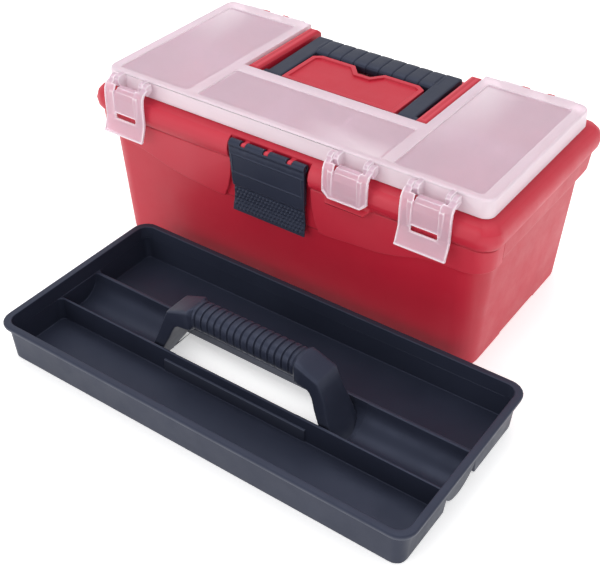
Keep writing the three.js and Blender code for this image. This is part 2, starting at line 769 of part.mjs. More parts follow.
// ---------- tray ----------
function tray() {
  const { rim, wallTop, bottom, height, lip, wall, dividerZ, troughY, troughRadius } = TRAY;
  const outer = join(
    loft([
      { z: 0, ...bottom, r: 9 },
      { z: height - lip, ...wallTop, r: 11 },
      { z: height - 0.5, ...wallTop, r: 11 },
    ]),
    loft([
      { z: height - lip, x: rim.x - 0.6, y: rim.y - 0.6, r: 14 },
      { z: height - 1, ...rim, r: 14.5 },
      { z: height, x: rim.x - 1, y: rim.y - 1, r: 14 },
    ]),
  );
  const upper = loft([
    { z: dividerZ, x: wallTop.x - wall - 1, y: wallTop.y - wall - 1, r: 9 },
    { z: height + 1, x: wallTop.x - wall, y: wallTop.y - wall, r: 10 },
  ]);
  const endX = bottom.x - wall;
  const backBay = loft([
    { z: wall, x: endX, front: 23, back: bottom.y - wall, r: 5 },
    { z: dividerZ + 1, x: wallTop.x - wall - 1, front: 19.4, back: wallTop.y - wall - 1, r: 5 },
  ]);
  const frontBay = loft([
    { z: wall, x: endX, front: wall - bottom.y, back: -28, r: 5 },
    { z: dividerZ + 1, x: wallTop.x - wall - 1, front: wall + 1 - wallTop.y, back: -26.8, r: 5 },
  ]);
  const hollow = new THREE.Shape();
  hollow.absarc(troughY, dividerZ, troughRadius, Math.PI, Math.PI * 2);
  hollow.lineTo(troughY + troughRadius, dividerZ + 1);
  hollow.lineTo(troughY - troughRadius, dividerZ + 1);
  const trough = prismX(hollow, -endX - 0.8, endX + 0.8, 8);

  // Underneath, open grooves run below both dividers, beside the round trough.
  const outerRadius = troughRadius + wall;
  const groove = (side, foot, top) => {
    const shape = new THREE.Shape();
    shape.moveTo(troughY, -1);
    shape.lineTo(troughY, dividerZ - outerRadius);
    const end = Math.acos(Math.min(1, (side * (top - troughY)) / outerRadius));
    const from = -Math.PI / 2;
    const to = side > 0 ? -end : -Math.PI + end;
    shape.absarc(troughY, dividerZ, outerRadius, from, to, side < 0);
    shape.lineTo(top, 13);
    shape.lineTo(foot, -1);
    return prismX(shape, -200, 200, 8);
  };
  const grooves = [groove(1, 20.8, 17.2), groove(-1, -25.9, -24.9)];

  const opening = prismZ(roundedRect(-84, 84, -17, 15.6, 5), -1, dividerZ + 2);
  const rib = box(-70, 70, -29, -26.9, wall - 0.4, 14);
  const body = join(cut(outer, upper, backBay, frontBay, trough, ...grooves, opening), rib);

  // The arched handle stands in the trough on both sides of the opening.
  const side = [
    [84, 1.4],
    [76, 19],
    [67, 39],
    [62, 43],
    [-62, 43],
  ];
  const outside = [
    [-95, 1.4],
    [-91, 9],
    [-83, 29],
    [-77.5, 46],
    [-73, 55.5],
    [-50, 65],
    [-46, 66],
  ];
  const mirror = (points) => points.map(([u, v]) => [-u, v]).reverse();
  const arch = [...outside, ...mirror(outside), ...side, ...mirror(side.slice(0, 3))];
  const gripSection = new THREE.Shape();
  gripSection.moveTo(troughY - 20, 0);
  gripSection.lineTo(troughY + 20, 0);
  gripSection.lineTo(troughY + 20, 14);
  gripSection.lineTo(troughY + 12.5, 38);
  gripSection.lineTo(troughY + 12.5, 54);
  gripSection.absarc(troughY, 54, 12.5, 0, Math.PI);
  gripSection.lineTo(troughY - 12.5, 38);
  gripSection.lineTo(troughY - 20, 14);
  const handle = prismY(arch, -40, 40).intersect(prismX(gripSection, -120, 120, 6));
  const footClip = prismX(
    (() => {
      const shape = new THREE.Shape();
      shape.absarc(troughY, dividerZ, troughRadius + 1, Math.PI, Math.PI * 2);
      shape.lineTo(troughY + troughRadius + 1, 70);
      shape.lineTo(troughY - troughRadius - 1, 70);
      return shape;
    })(),
    -120,
    120,
    8,
  );
  return join(body, handle.intersect(footClip));
}

// ---------- dividers and pins ----------
function dividers() {
  const { halfThickness: half, sideY, frontX } = DIVIDER;
  const inner = ([from, to]) => [from + GAP, to - GAP];
  const height = [LID.floorZ + GAP, LID.upstandZ - 1.5];
  const across = (x) => box(...inner(x), sideY - half, sideY + half, ...height);
  const along = (x) => box(x - half, x + half, ...inner(COMPARTMENTS.front.y), ...height);
  return {
    lid_divider_left: across(COMPARTMENTS.left.x),
    lid_divider_right: across(COMPARTMENTS.right.x),
    lid_divider_front_left: along(-frontX),
    lid_divider_front_right: along(frontX),
  };
}

function pins() {
  const made = { main_latch_pin: rodX(latchX.left + 1, latchX.right - 1, LATCH_HINGE, LATCH_HINGE.pin, 12) };
  const sides = ["left", "right"];
  sides.forEach((side, i) => {
    const sign = i ? 1 : -1;
    const lid = LID_HINGES[i];
    made[`lid_hinge_pin_${side}`] = rodX(lid - 16, lid + 16, LID_HINGE, LID_HINGE.pin, 12);
    const cover = COVER_HINGES[i];
    made[`cover_hinge_pin_${side}`] = rodX(cover - 34, cover + 34, COVER_HINGE, COVER_HINGE.pin, 12);
    const ends = [sign * (HANDLE.armInner + 1), sign * (RAIL.outer - 3.4)].sort((p, q) => p - q);
    made[`handle_pivot_pin_${side}`] = rodX(...ends, HANDLE_PIVOT, HANDLE_PIVOT.pin, 16);
  });
  Object.entries(CLIP.centres).forEach(([side, middle]) => {
    made[`cover_latch_pin_${side}`] = rodX(middle - 21.9, middle + 21.9, CLIP_HINGE, CLIP_HINGE.pin, 12);
  });
  return made;
}

// ---------- assembly ----------
const toolbox = new THREE.Group();
toolbox.add(toMesh("base_tub", baseTub(), red));
toolbox.add(toMesh("lid_shell", lidShell(), red));
toolbox.add(toMesh("organizer_cover", organizerCover(), frosted));
Object.entries(CLIP.centres).forEach(([side, middle]) => {
  toolbox.add(toMesh(`cover_latch_${side}`, coverClip(middle, side === "middle"), frosted));
});
toolbox.add(toMesh("main_latch", mainLatch(), black));
toolbox.add(toMesh("carry_handle", carryHandle(), black));
Object.entries(dividers()).forEach(([name, plate]) => toolbox.add(toMesh(name, plate, frosted)));
Object.entries(pins()).forEach(([name, pin]) => toolbox.add(toMesh(name, pin, steel)));

const trayMesh = toMesh("tray", tray(), black);
trayMesh.position.set(TRAY.centre.x, TRAY.centre.y, 0);
toolbox.add(trayMesh);

export default toolbox;
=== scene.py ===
import json
import math

import bmesh
import bpy
from mathutils import Matrix, Vector
from mathutils.bvhtree import BVHTree


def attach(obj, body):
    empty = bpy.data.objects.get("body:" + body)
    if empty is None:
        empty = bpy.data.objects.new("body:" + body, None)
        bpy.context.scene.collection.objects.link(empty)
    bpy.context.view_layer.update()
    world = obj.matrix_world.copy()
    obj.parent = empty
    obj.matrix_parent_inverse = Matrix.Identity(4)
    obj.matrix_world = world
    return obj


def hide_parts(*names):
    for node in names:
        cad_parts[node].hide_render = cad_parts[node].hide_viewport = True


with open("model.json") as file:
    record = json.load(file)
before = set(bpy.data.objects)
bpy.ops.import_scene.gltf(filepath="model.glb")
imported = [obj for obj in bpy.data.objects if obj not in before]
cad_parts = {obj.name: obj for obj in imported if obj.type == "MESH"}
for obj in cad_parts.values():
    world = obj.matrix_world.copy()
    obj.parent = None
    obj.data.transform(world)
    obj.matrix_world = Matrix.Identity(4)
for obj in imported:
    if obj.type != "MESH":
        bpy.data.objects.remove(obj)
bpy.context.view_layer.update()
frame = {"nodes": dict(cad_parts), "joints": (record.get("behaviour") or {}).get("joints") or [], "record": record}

# The shapes below are drawn in millimetres. Blender's meshes are in metres.
MM = 0.001

nodes = frame["nodes"]
record = frame["record"]
BODY_OF = {n: b for b, ns in record["behaviour"]["bodies"].items() for n in ns}
SLOT_OF = {row["node"]: row["material_slot"] for row in record["subparts"]}
HINGE_AT = {
    joint["name"]: [round(value / MM, 4) for value in joint["pos_m"]]
    for joint in frame["joints"]
    if "pos_m" in joint
}


# ---------- material helpers ----------
def new_material(name):
    material = bpy.data.materials.new(name)
    material.use_nodes = True
    tree = material.node_tree
    return material, tree, tree.nodes["Principled BSDF"]


def noise(tree, scale, detail, rough):
    """Noise over the object's own coordinates, which one shared node gives."""
    coords = tree.nodes.get("coords") or tree.nodes.new("ShaderNodeTexCoord")
    coords.name = "coords"
    made = tree.nodes.new("ShaderNodeTexNoise")
    made.inputs["Scale"].default_value = scale
    made.inputs["Detail"].default_value = detail
    made.inputs["Roughness"].default_value = rough
    tree.links.new(coords.outputs["Object"], made.inputs["Vector"])
    return made


def ramp(tree, source, low, high, ends):
    """A value turned into a colour, from low at the first end to high at the second."""
    made = tree.nodes.new("ShaderNodeValToRGB")
    for stop, position, colour in zip(made.color_ramp.elements, ends, (low, high)):
        stop.position = position
        stop.color = (*colour, 1)
    tree.links.new(source, made.inputs["Fac"])
    return made


def grey(value):
    return (value, value, value)


def maths(tree, operation, first, second=0):
    """A Math node; a number is set on the node itself."""
    made = tree.nodes.new("ShaderNodeMath")
    made.operation = operation
    for socket, value in zip(made.inputs, (first, second)):
        if isinstance(value, (int, float)):
            socket.default_value = value
        else:
            tree.links.new(value, socket)
    return made.outputs[0]


def split(tree, vector):
    """The X, Y and Z of a vector."""
    made = tree.nodes.new("ShaderNodeSeparateXYZ")
    tree.links.new(vector, made.inputs["Vector"])
    return made.outputs


def bump(tree, height, strength, distance):
    made = tree.nodes.new("ShaderNodeBump")
    made.inputs["Strength"].default_value = strength
    made.inputs["Distance"].default_value = distance
    tree.links.new(height, made.inputs["Height"])
    return made


def pointiness(tree):
    """How sharply the surface turns: above a half on outer edges."""
    return tree.nodes.new("ShaderNodeNewGeometry").outputs["Pointiness"]


def blend_colour(tree, shader, factor, colour):
    """The shader's colour turned towards another one by a factor."""
    blend = tree.nodes.new("ShaderNodeMix")
    blend.data_type = "RGBA"
    tree.links.new(factor, blend.inputs["Factor"])
    tree.links.new(shader.inputs["Base Color"].links[0].from_socket, blend.inputs["A"])
    blend.inputs["B"].default_value = (*colour, 1)
    tree.links.new(blend.outputs["Result"], shader.inputs["Base Color"])


def plastic(name, colour, dark, roughness, grain_mm, grain_height):
    """A slow drift of colour, patches of different gloss, and a fine grain over wide waves.

    The size of the grain is in millimetres, and its height is in metres.
    """
    material, tree, shader = new_material(name)
    drift = noise(tree, scale=14, detail=3, rough=0.6)
    tint = ramp(tree, drift.outputs["Fac"], dark, colour, (0.25, 0.75))
    tree.links.new(tint.outputs["Color"], shader.inputs["Base Color"])
    patches = noise(tree, scale=38, detail=4, rough=0.7)
    smooth, rough = grey(roughness - 0.04), grey(roughness + 0.07)
    gloss = ramp(tree, patches.outputs["Fac"], smooth, rough, (0.35, 0.65))
    tree.links.new(gloss.outputs["Color"], shader.inputs["Roughness"])
    grain = noise(tree, scale=1 / (grain_mm * MM), detail=2, rough=0.55)
    waves = noise(tree, scale=22, detail=2, rough=0.5)
    fine = bump(tree, grain.outputs["Fac"], strength=0.35, distance=grain_height)
    wide = bump(tree, waves.outputs["Fac"], strength=0.25, distance=0.0006)
    tree.links.new(fine.outputs["Normal"], wide.inputs["Normal"])
    tree.links.new(wide.outputs["Normal"], shader.inputs["Normal"])
    shader.inputs["IOR"].default_value = 1.49
    return material, shader


def paint_edge_highlight(material, shader, highlight_colour):
    """A painted highlight: a little paler along the outer edges."""
    tree = material.node_tree
    edge = ramp(tree, pointiness(tree), grey(0), grey(0.6), (0.51, 0.57))
    blend_colour(tree, shader, edge.outputs["Color"], highlight_colour)


# ---------- materials ----------
def red_material():
    red, shader = plastic(
        "red_plastic",
        colour=(0.50, 0.010, 0.032),
        dark=(0.45, 0.008, 0.027),
        roughness=0.44,
        grain_mm=0.9,
        grain_height=0.00008,
    )
    shader.inputs["Specular IOR Level"].default_value = 0.40
    # Painted highlight along the outer edges of the red plastic.
    paint_edge_highlight(red, shader, (0.62, 0.06, 0.09))
    return red


def black_material():
    black, shader = plastic(
        "black_plastic",
        colour=(0.024, 0.028, 0.047),
        dark=(0.018, 0.021, 0.036),
        roughness=0.40,
        grain_mm=0.8,
        grain_height=0.00006,
    )
    shader.inputs["Specular Tint"].default_value = (0.62, 0.70, 1.0, 1)
    shader.inputs["Specular IOR Level"].default_value = 0.33
    # Painted highlight along the outer edges of the black plastic.
    paint_edge_highlight(black, shader, (0.060, 0.066, 0.092))
    return black


def steel_material():
    steel, shader = plastic(
        "steel_pin",
        colour=(0.62, 0.62, 0.64),
        dark=(0.55, 0.55, 0.57),
        roughness=0.3,
        grain_mm=0.4,
        grain_height=0.00002,
    )
    shader.inputs["Metallic"].default_value = 1.0
    return steel


def painted_light_mask(tree):
    """Where light is painted: high on raised edges and on the rims of the clips as a painted highlight, and on the
    cover's upright walls as painted light that lifts their shade.
    """
    clip_line = -98.5 * MM  # the clips are in front of this y, the cover's walls behind it
    coords = tree.nodes["coords"]
    turning = pointiness(tree)
    # Painted highlight on the raised edges and the rims of the clips.
    raised = ramp(tree, turning, grey(0), grey(1), (0.504, 0.55))
    rims = ramp(tree, turning, grey(0), grey(1), (0.503, 0.528))
    facing = split(tree, coords.outputs["Normal"])
    place = split(tree, coords.outputs["Object"])
    upright = maths(tree, "LESS_THAN", maths(tree, "ABSOLUTE", facing["Z"]), 0.6)
    behind = maths(tree, "GREATER_THAN", place["Y"], clip_line)
    in_front = maths(tree, "LESS_THAN", place["Y"], clip_line)
    # Painted light on the cover's upright walls, which lifts their shade.
    wall = maths(tree, "MULTIPLY", maths(tree, "MULTIPLY", upright, behind), 0.75)
    clip_rim_highlight = maths(tree, "MULTIPLY", rims.outputs["Color"], in_front)
    edge_highlight_and_wall_light = maths(tree, "MAXIMUM", raised.outputs["Color"], wall)
    return maths(tree, "MAXIMUM", edge_highlight_and_wall_light, clip_rim_highlight)


def frosted_material():
    """Milky plastic, which lets less light through where it is pale. The paleness is painted: a highlight on
    raised edges and clip rims, and painted light on the upright walls.
    """
    frosted, shader = plastic(
        "frosted_plastic",
        colour=(0.95, 0.76, 0.865),
        dark=(0.92, 0.72, 0.835),
        roughness=0.36,
        grain_mm=0.7,
        grain_height=0.00005,
    )
    shader.inputs["IOR"].default_value = 1.38
    # A faint painted glow, which lifts the shade, in place of the light that it scatters inside itself.
    shader.inputs["Emission Color"].default_value = (1.0, 0.74, 0.86, 1)
    shader.inputs["Emission Strength"].default_value = 0.025
    tree = frosted.node_tree
    pale = painted_light_mask(tree)
    clear = ramp(tree, pale, grey(0.68), grey(0.22), (0, 1))
    tree.links.new(clear.outputs["Color"], shader.inputs["Transmission Weight"])
    # The painted highlight and painted light, laid on as a paler colour.
    blend_colour(tree, shader, pale, (0.98, 0.90, 0.945))
    return frosted


SLOTS = {
    "red": red_material(),
    "black": black_material(),
    "frosted_clear": frosted_material(),
    "pin_steel": steel_material(),
}


# ---------- closed solids, in millimetres ----------
def rings_solid(rings):
    """Rings of the same count joined in order, closed at both ends and turned outwards."""
    count = len(rings[0])
    faces = [tuple(range(count))[::-1]]
    for level in range(len(rings) - 1):
        a, b = level * count, (level + 1) * count
        faces += [(a + i, a + (i + 1) % count, b + (i + 1) % count, b + i) for i in range(count)]
    last = (len(rings) - 1) * count
    faces.append(tuple(range(last, last + count)))
    work = bmesh.new()
    made = [work.verts.new(point) for ring in rings for point in ring]
    for face in faces:
        work.faces.new([made[i] for i in face])
    bmesh.ops.recalc_face_normals(work, faces=work.faces)
    return work


def prism_x(outline, x0, x1):
    """An outline in (y, z), from x0 to x1."""
    return rings_solid([[(x, y, z) for y, z in outline] for x in (x0, x1)])


def prism_y(outline, y0, y1):
    """An outline in (x, z), from y0 to y1."""
    return rings_solid([[(x, y, z) for x, z in outline] for y in (y0, y1)])


def box(x0, x1, y0, y1, z0, z1):
    return prism_x([(y0, z0), (y1, z0), (y1, z1), (y0, z1)], x0, x1)


def rod_x(x0, x1, y, z, radius, sides=28):
    turn = [2 * math.pi * i / sides for i in range(sides)]
    return prism_x([(y + radius * math.cos(t), z + radius * math.sin(t)) for t in turn], x0, x1)


def strap(path, thickness, x0, x1):
    """A bent strip whose middle follows a path in (y, z)."""
    near, far = [], []
    for i, (y, z) in enumerate(path):
        before_y, before_z = path[max(i - 1, 0)]
        after_y, after_z = path[min(i + 1, len(path) - 1)]
        length = math.hypot(after_y - before_y, after_z - before_z)
        dy = (after_z - before_z) / length * thickness / 2
        dz = -(after_y - before_y) / length * thickness / 2
        near.append((y + dy, z + dz))
        far.append((y - dy, z - dz))
    return prism_x(near + far[::-1], x0, x1)


def span(middle, side, near, far):
    """The stretch of x between two distances from a middle, on its side -1 or 1."""
    return sorted((middle + side * near, middle + side * far))


def squared(t, power):
    """The cosine and sine of t on a circle that a power over 2 makes squarer."""
    c, s = math.cos(t), math.sin(t)
    return math.copysign(abs(c) ** (2 / power), c), math.copysign(abs(s) ** (2 / power), s)


def steps(first, last, step):
    """The values from first as far as last."""
    while (last - first) * step >= 0:
        yield first
        first += step


def groove_depth(x, centres, half_width, depth):
    """How deep the surface lies at x, where round grooves cross it."""
    return max(depth * max(0.0, 1 - ((x - c) / half_width) ** 2) ** 0.5 for c in centres)


# ---------- pieces ----------
def apply_modifiers(piece):
    graph = bpy.context.evaluated_depsgraph_get()
    made = bpy.data.meshes.new_from_object(piece.evaluated_get(graph), depsgraph=graph)
    piece.modifiers.clear()
    piece.data = made


def placed(name, data):
    """A new object in the scene."""
    made = bpy.data.objects.new(name, data)
    bpy.context.scene.collection.objects.link(made)
    return made


def show(name, mesh, body, slot):
    """A new piece that rides on a body."""
    piece = placed(name, mesh)
    mesh.materials.clear()
    mesh.materials.append(SLOTS[slot])
    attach(piece, body)
    return piece


def mesh_from(name, work):
    """A bmesh turned into a mesh, and freed."""
    mesh = bpy.data.meshes.new(name)
    work.to_mesh(mesh)
    work.free()
    return mesh


def joined(name, solids, cad=()):
    """Solids in millimetres, and CAD nodes, in one mesh in metres."""
    whole = bmesh.new()
    for solid in solids:
        spare = mesh_from("spare", solid)
        spare.transform(Matrix.Scale(MM, 4))
        whole.from_mesh(spare)
        bpy.data.meshes.remove(spare)
    for node_name in cad:
        whole.from_mesh(nodes[node_name].data)
    bmesh.ops.remove_doubles(whole, verts=whole.verts, dist=1e-6)
    return mesh_from(name, whole)


def fused(name, solids, body, slot, voxel, smooth, keep, cad=()):
    """Overlapping solids merged into one moulded skin with soft edges."""
    piece = show(name, joined(name, solids, cad), body, slot)
    merge = piece.modifiers.new("merge", "REMESH")
    merge.mode = "VOXEL"
    merge.voxel_size = voxel * MM
    merge.use_smooth_shade = True
    soften = piece.modifiers.new("soften", "SMOOTH")
    soften.factor = 0.5
    soften.iterations = smooth
    thin = piece.modifiers.new("thin", "DECIMATE")
    thin.ratio = keep
    apply_modifiers(piece)
    piece.data.materials.clear()
    piece.data.materials.append(SLOTS[slot])
    for face in piece.data.polygons:
        face.use_smooth = True
    return piece


def merge_flat_faces(work):
    bmesh.ops.remove_doubles(work, verts=work.verts, dist=1e-6)
    bmesh.ops.dissolve_limit(
        work, angle_limit=math.radians(0.4), verts=work.verts, edges=work.edges
    )


def cleaned(node_name):
    """The CAD node as a bmesh in metres, its flat faces merged."""
    work = bmesh.new()
    work.from_mesh(nodes[node_name].data)
    merge_flat_faces(work)
    return work


def rounded(name, work, node_name, radius):
    """A bmesh in metres with its edges rounded, in place of a CAD node."""
    most_off = 0.6 * MM  # a vertex farther than this from the CAD surface goes back onto it
    skin = nodes[node_name].data
    near = BVHTree.FromPolygons(
        [v.co for v in skin.vertices], [list(face.vertices) for face in skin.polygons]
    )
    bmesh.ops.triangulate(work, faces=work.faces, quad_method="BEAUTY", ngon_method="BEAUTY")
    mesh = mesh_from(name, work)
    for face in mesh.polygons:
        face.use_smooth = True
    piece = show(name, mesh, BODY_OF[node_name], SLOT_OF[node_name])
    bevel = piece.modifiers.new("edges", "BEVEL")
    bevel.width = radius * MM
    bevel.segments = 2
    bevel.limit_method = "ANGLE"
    bevel.angle_limit = math.radians(28)
    bevel.use_clamp_overlap = False
    apply_modifiers(piece)
    for vertex in piece.data.vertices:
        point, _, _, gap = near.find_nearest(vertex.co)
        if gap > most_off:
            vertex.co = point
        vertex.co.z = max(vertex.co.z, 0.0)
    piece.modifiers.new("normals", "WEIGHTED_NORMAL").keep_sharp = True
    apply_modifiers(piece)
    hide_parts(node_name)


def with_sharp_edges(piece, angle):
    """Smooth faces, except across edges sharper than an angle in degrees."""
    work = bmesh.new()
    work.from_mesh(piece.data)
    for face in work.faces:
        face.smooth = True
    for edge in work.edges:
        edge.smooth = len(edge.link_faces) == 2 and edge.calc_face_angle() < math.radians(angle)
    work.to_mesh(piece.data)
    work.free()


# ---------- tray: its shell, and the arched handle across it ----------
TRAY_X, TRAY_Y = 54.8, -204.0
TROUGH_Y, TROUGH_Z, TROUGH_R = TRAY_Y - 4.2, 22.6, 20.5
# The opening through the tray's middle, under the arch: half its length, its front and its back.
OPENING_HALF, OPENING_FRONT, OPENING_BACK = 84, TRAY_Y - 17, TRAY_Y + 15.6
ARCH_HALF, ARCH_FRONT, ARCH_BACK, ARCH_TOP = 97, TROUGH_Y - 23, TROUGH_Y + 22, 75
FOOT_INNER, FOOT_OUTER = 60, 98  # from the tray's middle
FOOT_SINK = 0.9  # how far the arch's feet go into the trough's wall


def tray_cutters():
    """What comes off the CAD tray to leave its shell: the arch, and each foot in two parts."""
    cutters = [
        box(
            TRAY_X - ARCH_HALF, TRAY_X + ARCH_HALF, ARCH_FRONT, ARCH_BACK, TROUGH_Z + 0.15, ARCH_TOP
        )
    ]
    # The same facets as the trough, a hair wider.
    radius, brim = TROUGH_R + 0.02, TROUGH_Z + 0.2
    turn = [math.pi * (1 + i / 16) for i in range(17)]
    bowl = [(TROUGH_Y + radius * math.cos(t), TROUGH_Z + radius * math.sin(t)) for t in turn]
    bowl += [(TROUGH_Y + radius, brim), (TROUGH_Y - radius, brim)]
    for side in (-1, 1):
        cutters.append(prism_x(bowl, *span(TRAY_X, side, FOOT_INNER, FOOT_OUTER)))
        x0, x1 = span(TRAY_X, side, FOOT_INNER + 0.5, OPENING_HALF - 0.05)
        cutters.append(box(x0, x1, OPENING_FRONT + 0.1, OPENING_BACK - 0.1, -2, TROUGH_Z + 0.1))
    return cutters


def tray_shell():
    """The CAD tray without its handle, as a bmesh in metres."""
    shell = placed("tray_shell", mesh_from("tray_shell", cleaned("tray")))
    for solid in tray_cutters():
        cutter = placed("cutter", joined("cutter", [solid]))
        trim = shell.modifiers.new("trim", "BOOLEAN")
        trim.operation = "DIFFERENCE"
        trim.solver = "EXACT"
        trim.object = cutter
        apply_modifiers(shell)
        bpy.data.objects.remove(cutter)
    work = bmesh.new()
    work.from_mesh(shell.data)
    bpy.data.objects.remove(shell)
    merge_flat_faces(work)
    return work


# Sections from the right foot up to the grip: x and z of the outside, x and z of the inside,
# half the depth along y outside and inside, and the power that says how square it is.
ARCH = [
    (95.4, 1.4, 83.6, 1.4, 17.6, 17.6, 9),
    (91.4, 9, 80.2, 9, 17.6, 17.6, 9),
    (87.4, 18.5, 76.0, 19, 17.2, 17.2, 10),
    (83.4, 29, 71.2, 29, 15.6, 15.4, 10),
    (80.4, 38, 67.6, 38, 13.8, 13.6, 10),
    (77.2, 46, 65.2, 41.6, 13.6, 13.2, 10),
    (73.9, 54.4, 62.4, 43.2, 13.5, 13.0, 10),
    (72.9, 55.5, 61.8, 43.3, 13.5, 13.0, 10),
    (71.6, 56.1, 61.2, 43.3, 13.5, 13.0, 10),
    (60.0, 60.9, 55.6, 43.4, 13.3, 12.8, 9),
    (52.6, 64.0, 51.6, 43.5, 13.0, 12.4, 8),
    (51.4, 64.3, 50.8, 43.6, 12.6, 12.0, 6),
    (49.4, 64.5, 49.4, 43.8, 11.2, 10.8, 3.2),
]


def tray_grip():
    """The grooved grip between the two ends of the arch, in the form of ARCH."""
    reach, pitch, top, bottom = 48.4, 6.5, 65.6, 43.8
    grooves = [pitch * i for i in range(-7, 8)]
    sections = []
    for x in steps(reach, -reach - 0.1, -0.4):
        depth = groove_depth(x, grooves, half_width=1.0, depth=1.25)
        swell = 0.35 * abs(math.cos(math.pi * (x / pitch - 0.5)))
        outside = top + swell - depth
        inside = bottom + depth * 0.6
        sections.append((x, outside, x, inside, 11.4 + swell - depth, 11.0 - depth, 2.7))
    return sections


def arch_ring(out_x, out_z, in_x, in_z, wide_out, wide_in, power, count=48):
    """The points of one section, held to the trough's shape below its brim."""
    ring = []
    for i in range(count):
        across, along = squared(2 * math.pi * i / count, power)
        along = (along + 1) / 2
        x = in_x + (out_x - in_x) * along
        y = across * (wide_in + (wide_out - wide_in) * along)
        z = in_z + (out_z - in_z) * along
        if z < TROUGH_Z:
            limit = math.sqrt(max(0.0, (TROUGH_R + FOOT_SINK) ** 2 - (TROUGH_Z - z) ** 2))
            y = max(-limit, min(limit, y))
        ring.append((TRAY_X + x, TROUGH_Y + y, z))
    return ring


def build_tray():
    rounded("tray_shell", tray_shell(), "tray", radius=0.7)
    left = [(-out_x, out_z, -in_x, *rest) for out_x, out_z, in_x, *rest in reversed(ARCH)]
    rings = [arch_ring(*section) for section in ARCH + tray_grip() + left]
    mesh = joined("tray_handle", [rings_solid(rings)])
    with_sharp_edges(show("tray_handle", mesh, "loose_tray", "black"), angle=24)


# ---------- carry handle ----------
HANDLE_BOTTOM, HANDLE_TOP = 153.6, 164.6
GRIP_HALF, GRIP_FRONT, GRIP_BACK, GRIP_PITCH = 63.5, 48.5, 78.0, 13.5
ARM_INNER, ARM_OUTER, ARM_NOSE = 60, 76, 4.7
BOSS_INNER, BOSS_OUTER, BOSS_R = 75, 78.9, 4.6
# The back of an arm in (y, z), from the bottom up.
ARM_BACK = [
    (73.5, HANDLE_BOTTOM), (76.6, 154.6), (GRIP_BACK, 157.0), (GRIP_BACK, 161.4), (77.0, 163.7),
    (74.8, HANDLE_TOP),
]


def grip_ring(x, grooves, count=44):
    """A section of the grip: nearly flat segments between thin grooves."""
    depth = groove_depth(x, grooves, half_width=0.8, depth=1.2)
    swell = 0.45 * abs(math.cos(math.pi * x / GRIP_PITCH)) ** 0.4
    bulge = swell if abs(x) < ARM_INNER + 0.5 else 0
    front, back = GRIP_FRONT - bulge + depth, GRIP_BACK - 0.5 * depth
    low, high = HANDLE_BOTTOM + 0.2 + depth, HANDLE_TOP + bulge - depth
    ring = []
    for i in range(count):
        across, up = squared(2 * math.pi * i / count, 3.6)
        y = (front + back) / 2 + across * (back - front) / 2
        z = (low + high) / 2 + up * (high - low) / 2
        ring.append((x, y, z))
    return ring


def handle_arm(side, pivot_y, pivot_z):
    """One arm and its boss. Its three layers, each thinner but fuller in outline, round its edges."""
    turn = [math.pi / 2 + math.pi * i / 10 for i in range(11)]
    nose = [(pivot_y + ARM_NOSE * math.cos(t), pivot_z + ARM_NOSE * math.sin(t)) for t in turn]
    front = pivot_y - ARM_NOSE
    x0, x1 = span(0, side, ARM_INNER, ARM_OUTER)
    layers = []
    for inset, shrink in ((0, 1.2), (0.5, 0.45), (1.3, 0)):
        outline = [
            (
                min(max(y, front + shrink), GRIP_BACK - shrink),
                z - shrink if z > pivot_z else z + shrink,
            )
            for y, z in nose + ARM_BACK
        ]
        layers.append(prism_x(outline, x0 + inset, x1 - inset))
    boss = rod_x(*span(0, side, BOSS_INNER, BOSS_OUTER), pivot_y, pivot_z, BOSS_R)
    return layers + [boss]


def build_carry_handle():
    _, pivot_y, pivot_z = HINGE_AT["carry_handle_swing"]
    grooves = [GRIP_PITCH * (i + 0.5) for i in range(-5, 5)]
    solids = [rings_solid([grip_ring(x, grooves) for x in steps(-GRIP_HALF, GRIP_HALF + 0.01, 0.35)])]
    for side in (-1, 1):
        solids += handle_arm(side, pivot_y, pivot_z)
    carry_handle = fused("handle", solids, "handle", "black", voxel=0.5, smooth=2, keep=0.7)
    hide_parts("carry_handle")


# ---------- main latch ----------
LATCH_LEFT, LATCH_RIGHT = -42.7, 33.7
# The latch's outer face as (z, y), from the bottom up.
LATCH_FACE = [(80.4, -103.4), (92, -101.5), (104.4, -101.7), (106, -103.0), (141, -105.2)]


def face_y(height):
    """The y of the latch's outer face at a height."""
    for (z0, y0), (z1, y1) in zip(LATCH_FACE, LATCH_FACE[1:]):
        if height <= z1:
            return y0 + (y1 - y0) * (height - z0) / (z1 - z0)


def bead(x0, z0, x1, z1):
    """A thin raised line on the latch's face, level or upright."""
    half, root, rise = 0.5, 0.6, 0.45
    # Offsets along the face and out of it.
    section = [(-half, root), (-half * 0.5, -rise), (half * 0.5, -rise), (half, root)]
    rings = []
    for x, z in ((x0, z0), (x1, z1)):
        y = face_y(z)
        if z0 == z1:
            rings.append([(x, y + out, z + off) for off, out in section])
        else:
            rings.append([(x + off, y + out, z) for off, out in section])
    return rings_solid(rings)


def latch_lines():
    """The raised lines: a frame whose top line runs on to both sides."""
    left, right, bottom, top = LATCH_LEFT + 2.6, LATCH_RIGHT - 2.6, 119, 137
    return [
        bead(LATCH_LEFT + 0.8, top, LATCH_RIGHT - 0.8, top),
        bead(left, bottom, right, bottom),
        bead(left, bottom, left, top),
        bead(right, bottom, right, top),
    ]


def diamond(x, y, z, half):
    return [(x - half, y, z), (x, y, z - half), (x + half, y, z), (x, y, z + half)]


